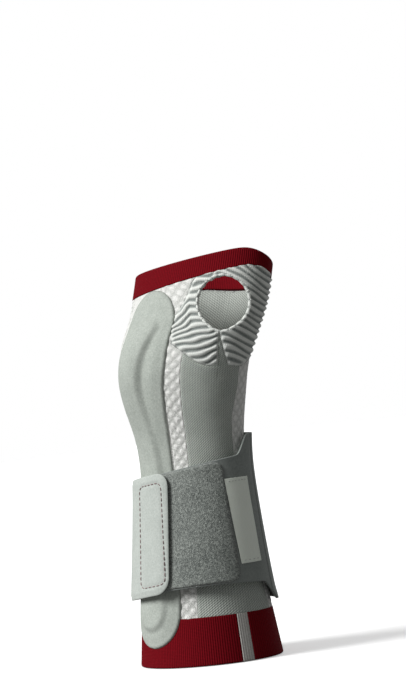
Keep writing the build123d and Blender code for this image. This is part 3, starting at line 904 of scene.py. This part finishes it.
def make_cuffs():
    """The maroon cuffs, with the grey stripe knitted into the forearm one."""

    def forearm(turn, height, out):
        return on(knit, turn, height, out)

    def palm(turn, height, out):
        """Heights run from 0 at the cuff's lower edge to PALM_CUFF_TALL at the rim."""
        z = np.full(np.broadcast_shapes(turn.shape, height.shape), PALM_RIM[0][0])
        for _ in range(12):
            x, y, _ = np.moveaxis(on(knit, turn, z, out), -1, 0)
            foot, head = roof(PALM_CUFF_FOOT, x, y), roof(PALM_RIM, x, y)
            z = z + 0.7 * (foot + (head - foot) * height / PALM_CUFF_TALL - z)
        return on(knit, turn, z, out)

    forearm_profile = hem_profile(CUFF_TOP + 0.3, *FOREARM_CUFF_OUT, 0.5, 0.9)
    palm_profile = hem_profile(PALM_CUFF_TALL, *PALM_CUFF_OUT, 1.1, 0.5)
    start, end = STRIPE_TURNS
    cuff("forearm_cuff_hem", "forearm_cuff", MAROON, forearm_profile, forearm, end - 360, start)
    cuff("cuff_stripe_hem", "cuff_stripe", STRIPE, forearm_profile, forearm, start, end)
    cuff("palm_cuff_hem", "palm_cuff", MAROON, palm_profile, palm, -180, 180)


# ---------------- pocket and stay


def long_outline(middles, halves, foot, head):
    """A long outline down the palm side with rounded ends, as x and height."""
    heights = np.linspace(POCKET_HEIGHTS[0], POCKET_HEIGHTS[-1], 60)
    middle, half = (curve(heights, POCKET_HEIGHTS, values) for values in (middles, halves))
    angle = np.linspace(0, np.pi, 40)[1:-1]
    rise = (head - heights[-1]) * np.sin(angle)
    top = np.stack([middle[-1] + half[-1] * np.cos(angle), heights[-1] + rise], -1)
    drop = (heights[0] - foot) * np.sin(angle) ** 0.8
    low = np.stack([middle[0] - half[0] * np.cos(angle), heights[0] - drop], -1)
    right = np.stack([middle + half, heights], -1)
    left = np.stack([middle - half, heights], -1)[::-1]
    return np.concatenate([right, top, left, low])


def palm_turn(x, z):
    """The turn of a place seen from the palm side, x being counted from the forearm's axis."""
    cx, _, rx, _ = section(z)
    return np.degrees(np.arcsin(np.clip((x + ARM[0] - cx) / rx, -1, 1)))


def make_pocket():
    """The bonded pocket: a flat flange and the soft rise of the stay under it."""
    outline, stay = long_outline(*POCKET), long_outline(*STAY)
    corners = outline.min(0) - 1, outline.max(0) + 1
    a, b, faces = cut_out(lambda x, z: distance_inside(x, z, outline), *corners)
    rim = distance_inside(a, b, outline)
    over = distance_inside(a, b, stay)
    rise = smooth(over, -2.9, 0.9)
    palm = smooth(b, *PALM_RISES) * (1 - smooth(b, *PALM_FALLS))
    crown = smooth(over, -2.0, 6.5)
    out = POCKET_LOW + (FLANGE_TALL - POCKET_LOW) * np.sqrt(smooth(rim, -0.1, 1.1))
    out += (DOME_TALL - FLANGE_TALL) * rise
    out += PALM_DOME * palm * (0.45 * rise + 0.55 * crown) + FLANGE_SLOPE * smooth(rim, 0.3, 8.0) * (1 - rise)
    points = on(knit, palm_turn(a, b), b, out)
    piece = mesh_of("stay_pocket_cloth", points, faces, np.stack([a, b], -1))
    thicken(piece, 0.6)
    area = len(faces) * SHEET_STEP**2 * 1.08
    put_cloth(piece, "sleeve", "stay_pocket_cover", POCKET_CLOTH, POCKET_FLAT, area)

    def in_pad(x, z):
        return distance_inside(x, z, stay) + PAD_MARGIN

    a, b, faces = cut_out(in_pad, *corners)
    out = 0.2 + 0.6 * smooth(in_pad(a, b), 0, 1.5)
    pad = mesh_of("stay_backing_quilt", on(knit, palm_turn(a, b), b, out), faces)
    thicken(pad, 0.15)
    put(pad, "sleeve", "stay_backing_pad", FOAM)

    stay_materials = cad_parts["palmar_stay"].data.materials
    stay_materials.clear()
    stay_materials.append(METAL)


# ---------------- strap


def strap_edge(turn, plane, slope, limit, way):
    """The height where the strap ends at a turn: a slanted plane, or the taller back's edge.

    The way is 1 for the lower edge and -1 for the upper one.
    """
    z = np.full(np.shape(turn), plane[0], float)
    (y0, z0), (y1, z1) = slope
    for _ in range(10):
        x, y, _ = np.moveaxis(on(wing, turn, z), -1, 0)
        flare = z0 + (y - ARM[1] - y0) * (z1 - z0) / (y1 - y0)
        z = way * soft_least([way * slanted(plane, x, y), -soft_least([-way * flare, -way * limit])])
    return z


def strap_foot(turn):
    return strap_edge(turn, STRAP_FOOT, FLARE_FOOT, BASE_FOOT, 1)


def strap_head(turn):
    return strap_edge(turn, STRAP_HEAD, FLARE_HEAD, BASE_HEAD, -1)


def stand_off(turn, z):
    """How far the strap lifts off the sleeve: only its tall back does, near its edges."""
    back = smooth(turn, 84, 120) * (1 - smooth(turn, 225, 262))
    return STAND_OFF * back * (smooth(z, 92, 112) + 1 - smooth(z, 27, 36))


def strap_cloth(name, turns, thick, step=0.8):
    """A part of the strap between its lower and upper edges."""
    count = round(abs(arc_of(turns[1]) - arc_of(turns[0])) / step)
    turn = turn_of(np.linspace(arc_of(turns[0]), arc_of(turns[1]), count))
    share = np.linspace(0, 1, round((BASE_HEAD - BASE_FOOT) / step))[:, None]
    foot, head = strap_foot(turn), strap_head(turn)
    z = foot + (head - foot) * share
    turn = np.broadcast_to(turn, z.shape)
    points = on(wing, turn, z, thick + stand_off(turn, z))
    uv = np.stack([arc_of(turn), z], -1)
    return thicken(mesh_of(name, points, quads(*turn.shape), uv), thick, 0.3)


def rounded_least(a, b, radius):
    """The lesser of two distances from crossing edges, with their corner rounded."""
    corner = radius - np.hypot(radius - a, radius - b)
    return np.where((a < radius) & (b < radius), corner, np.minimum(a, b))


def free_end(end, foot, head, radius):
    """The distance inside a strap's free end, with its two corners rounded."""
    return np.minimum(rounded_least(end, head, radius), rounded_least(end, foot, radius))


def blend_fold(piece, low, high):
    """Bakes a piece's place into its mesh; the two depths behind the arm's axis, between which it would bend
    from its body to the sleeve, are worked out but not used.
    """
    start, end = ((0, (ARM[1] + depth) * MM, 0) for depth in (low, high))
    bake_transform(piece)
    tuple(start)
    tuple(end)


def make_wing():
    """The strap's wing with the loop field and the label."""
    band = strap_cloth("loop_wing_cloth", WING_TURNS, 1.0)
    length = arc_of(WING_TURNS[1]) - arc_of(WING_TURNS[0])
    put_cloth(band, None, "loop_wing_band", STRAP_CLOTH, (length * TURNED_UNDER, WING_FLAT))
    blend_fold(band, 3.0, 10.5)

    start, end = arc_of(LOOP_START), arc_of(80)

    def inside(arc, z):
        """Square at the end under the tab, rounded at the end by the label."""
        x, y, _ = np.moveaxis(on(wing, turn_of(arc), z), -1, 0)
        below = slanted(STRAP_HEAD, x, y) - LOOP_INSET - z
        above = z - slanted(STRAP_FOOT, x, y) - LOOP_INSET
        return np.minimum(arc - start, free_end(ARM[1] + LOOP_END - y, above, below, LOOP_CORNER))

    a, b, faces = cut_out(inside, (start - 1, 35), (end, 101))
    soft = np.sqrt(smooth(inside(a, b), -0.1, 0.9))
    rng = np.random.default_rng(7)
    pile = rng.normal(0, 0.045, len(a))
    points = on(wing, turn_of(a), b, 1.05 + 0.75 * soft + pile * soft)
    loop = mesh_of("loop_field_pile", points, faces, np.stack([a, b], -1))
    thicken(loop, 0.6)
    used = np.unique(faces)
    flat = np.ptp(a[used]) + 2, np.ptp(b[used])
    put_cloth(loop, "wing", "loop_field", VELOUR, flat, len(faces) * SHEET_STEP**2 * 1.03)

    wide, tall = LABEL_SIZE
    across, along = np.meshgrid(np.linspace(-0.5, 0.5, 34), np.linspace(-0.5, 0.5, 88))
    turn, z = label_place(across, along)
    curl = 0.2 * smooth(across, 0.3, 0.5) + 0.05 * np.sin(9 * along + 4 * across)
    uv = np.stack([across * wide, along * tall], -1)
    label = mesh_of("blank_label_satin", on(wing, turn, z, 1.5 + curl), quads(*across.shape), uv)
    thicken(label, 0.3, 0.1)
    put_cloth(label, "wing", "blank_label", SATIN, (wide * TURNED_UNDER, tall))


def label_place(across, along):
    """The turn and height of a place on the label, counted in its own sides from its middle."""
    wide, tall = LABEL_SIZE
    z = LABEL_MIDDLE[1] + along * tall
    y = ARM[1] + LABEL_MIDDLE[0] - along * tall * LABEL_TILT + across * wide
    _, cy, _, ry = wing(z, 1.4)
    return np.degrees(np.arccos((cy - y) / ry)), z


def make_base():
    base = strap_cloth("strap_base_cloth", BASE_TURNS, 1.3)
    length = arc_of(BASE_TURNS[1]) - arc_of(BASE_TURNS[0])
    put_cloth(base, "sleeve", "strap_base", STRAP_CLOTH, (length * TURNED_UNDER, BASE_FLAT))


def tab_slant(turn, level):
    """The height at a turn of a line that is at a level in front of the forearm's axis."""
    z = np.asarray(level, float)
    for _ in range(4):
        z = level + TAB_RISE * (on(tab, turn, z)[..., 0] - ARM[0])
    return z


def box_turn(side, level):
    """The turn of the box stitch's left or right side at a level."""
    return np.interp(level, (TAB_FOOT + BOX_INSET, TAB_HEAD - BOX_INSET), side)


def make_tab():
    """The closing tab, pressed in round its edge and along its box stitch."""
    start, limit = (arc_of(turn) for turn in TAB_TURNS)

    def inside(arc, level):
        """The tab's outline: two rounded corners at its free end."""
        turn = turn_of(arc)
        end = TAB_END - (on(tab, turn, tab_slant(turn, level))[..., 0] - ARM[0])
        return np.minimum(arc - start, free_end(end, level - TAB_FOOT, TAB_HEAD - level, TAB_CORNER))

    a, b, faces = cut_out(inside, (start, TAB_FOOT - 1), (limit, TAB_HEAD + 1))
    edge = np.where(a > start + 6, inside(a, b), 6.0)
    welded = 0.3 * (1 - smooth(edge, 1.6, 2.4)) + 0.35 * (1 - smooth(edge, 0, 0.7))
    within = np.minimum(a - arc_of(box_turn(BOX_LEFT, b)), arc_of(box_turn(BOX_RIGHT, b)) - a)
    between = np.minimum(b - TAB_FOOT, TAB_HEAD - b) - BOX_INSET
    from_box = rounded_least(within, between, BOX_CORNER)
    dimple = 0.3 * np.exp(-((from_box / 0.8) ** 2))
    points = on(tab, turn_of(a), tab_slant(turn_of(a), b), 1.45 - welded - dimple)
    panel = mesh_of("closing_tab_cloth", points, faces, np.stack([a, b], -1))
    thicken(panel, 1.1, 0.25)
    flat = arc_of(TAB_FLAT_END) - start, TAB_HEAD - TAB_FOOT
    put_cloth(panel, None, "tab_panel", TAB_CLOTH, flat)
    blend_fold(panel, -9.0, 0.3)


def make_hooks():
    """The patch of hooks under the tab."""
    share, lift = np.meshgrid(*(np.linspace(0, 1, 8 * pegs + 1) for pegs in HOOK_PEGS))
    start, end = arc_of(HOOK_TURNS[0]), arc_of(HOOK_TURNS[1])
    low, high = TAB_FOOT + HOOK_INSET, TAB_HEAD - HOOK_INSET
    arc, level = start + (end - start) * share, low + (high - low) * lift
    peg = np.maximum(np.cos(2 * np.pi * HOOK_PEGS[0] * share), 0) ** 2
    peg = peg * np.maximum(np.cos(2 * np.pi * HOOK_PEGS[1] * lift), 0) ** 2
    turn = turn_of(arc)
    points = on(tab, turn, tab_slant(turn, level), -0.12 - 0.4 * peg)
    faces = quads(*arc.shape)[:, ::-1]
    hooks = mesh_of("hook_patch_pegs", points, faces, np.stack([arc, level], -1))
    put(hooks, "tab", "hook_patch", HOOKS)


# ---------------- thread


def sew(name, node, body, material, outline, out, path, pitch=2.6, long=1.9, thick=0.22):
    """Thread stitches along a path of turns and heights, each dipping into the cloth at its ends."""
    path = np.array(path, float)
    spots = np.stack([arc_of(path[:, 0]), path[:, 1]], -1)
    runs = np.linalg.norm(np.diff(spots, axis=0), axis=1)
    reach = np.concatenate([[0], np.cumsum(runs)])
    count = int(reach[-1] / pitch)
    centres = (np.arange(count) + 0.5) * reach[-1] / count
    rise, around = np.linspace(-1, 1, 7), 6
    points, faces = [], []
    for centre in centres:
        along = centre + rise * long / 2
        arc, z = (np.interp(along, reach, spots[:, k]) for k in (0, 1))
        turn = turn_of(arc)
        spine = on(outline, turn, z, out + 0.26 * (1 - rise**2) - 0.12)
        up = on(outline, turn, z, 1.0) - on(outline, turn, z, 0.0)
        wide = thick * (1 - 0.45 * rise**4)
        faces.append(quads(len(rise), around, wrap=True) + len(points) * len(rise) * around)
        points.append(tube(spine, np.gradient(spine, axis=0), up, wide, around))
    piece = mesh_of(name, np.concatenate(points), np.concatenate(faces))
    put(piece, body, node, material)


def rounded_loop(corners, radius):
    """A closed path through straight sides and rounded corners."""
    share = np.linspace(0, 1, 9)[:, None]
    bends = []
    for before, corner, after in zip(np.roll(corners, 1, 0), corners, np.roll(corners, -1, 0)):
        start, end = (corner + (p - corner) * radius / np.linalg.norm(p - corner) for p in (before, after))
        bends.append(start * (1 - share) ** 2 + corner * 2 * share * (1 - share) + end * share**2)
    sides = [np.linspace(a[-1], b[0], 30)[1:-1] for a, b in zip(bends, bends[1:] + bends[:1])]
    return np.concatenate([part for pair in zip(bends, sides) for part in pair] + [bends[0][:1]])


def make_thread():
    low, high = TAB_FOOT + BOX_INSET, TAB_HEAD - BOX_INSET
    turns = np.array([BOX_LEFT[0], BOX_RIGHT[0], BOX_RIGHT[1], BOX_LEFT[1]])
    corners = np.stack([arc_of(turns), (low, low, high, high)], -1)
    box = rounded_loop(corners, BOX_CORNER)
    box[:, 0] = turn_of(box[:, 0])
    box[:, 1] = tab_slant(box[:, 0], box[:, 1])
    sew("tab_box_stitch", "tab_box_stitching", "tab", PINK_THREAD, tab, 1.3, box)

    for k, along in enumerate((-LABEL_SEWN, LABEL_SEWN)):
        name = f"label_stitch_{k}"
        row = np.stack(label_place(np.linspace(-0.42, 0.42, 20), np.full(20, along)), -1)
        sew(name, "label_stitching", "wing", PALE_THREAD, wing, 1.55, row, pitch=1.8, long=1.3, thick=0.14)

    for k, turn in enumerate(ANCHOR_TURNS):
        row = [(turn, BASE_FOOT + 5), (turn, BASE_HEAD - 5)]
        sew(f"anchor_stitch_{k}", "strap_anchor_stitching", "sleeve", GREY_THREAD, back_of_base, 1.35, row)


def back_of_base(z, out):
    """The outside of the strap's base, where it lifts off at its upper and lower edges."""
    return wing(z, out + stand_off(150.0, z))


# ---------------- studio


def light(name, direction, strength, spread):
    """A soft light that shines from a direction onto the object."""
    made = bpy.data.lights.new(name, "SUN")
    made.energy = strength
    made.angle = np.radians(spread)
    lamp = new_object(name, made)
    lamp.rotation_euler = (-direction).to_track_quat("-Z", "Y").to_euler()


def make_studio():
    """Pale floor, white surroundings, a key light from the left, a weak one from behind, a camera."""
    view = np.radians(45.0)
    right = Vector((np.cos(view), np.sin(view), 0))
    towards = Vector((np.sin(view), -np.cos(view), 0))
    upright = Vector((0, 0, 1))

    spread = np.linspace(-3000, 3000, 31)
    x, y = np.meshgrid(spread, spread)
    floor = mesh_of("floor", np.stack([x, y, 0 * x], -1), quads(*x.shape))
    floor.location.z = -0.0002
    floor.data.materials.append(floor_paint())

    world = bpy.data.worlds.new("studio")
    bpy.context.scene.world = world
    world.use_nodes = True
    tree = world.node_tree
    tree.nodes.clear()
    white = (1.0, 1.0, 1.0, 1.0)
    seen, lit = (add_node(tree, "Background", {"Color": white, "Strength": v}) for v in (1.0, 0.2))
    seen_or_lit(tree, seen, lit, add_node(tree, "OutputWorld"))

    light("key", 0.32 * towards - right + 0.78 * upright, 3.5, 30)
    light("rear", 0.3 * right - towards + 0.5 * upright, 0.9, 60)

    roll = np.radians(6.5)
    camera = bpy.data.cameras.new("camera")
    camera.lens, camera.sensor_width = 164.6, 36
    camera.clip_start, camera.clip_end = 0.05, 50
    made = new_object("camera", camera)
    place = 0.00739 * right + 0.1543 * upright + 1.6 * towards
    up = np.cos(roll) * upright + np.sin(roll) * right
    across = np.cos(roll) * right - np.sin(roll) * upright
    made.matrix_world = Matrix.Translation(place) @ Matrix((across, up, towards)).transposed().to_4x4()
    bpy.context.scene.camera = made
    bpy.context.scene.view_settings.view_transform = "Standard"


make_studio()
make_knit()
make_welt()
make_cuffs()
make_pocket()
make_base()
make_wing()
make_tab()
make_hooks()
make_thread()
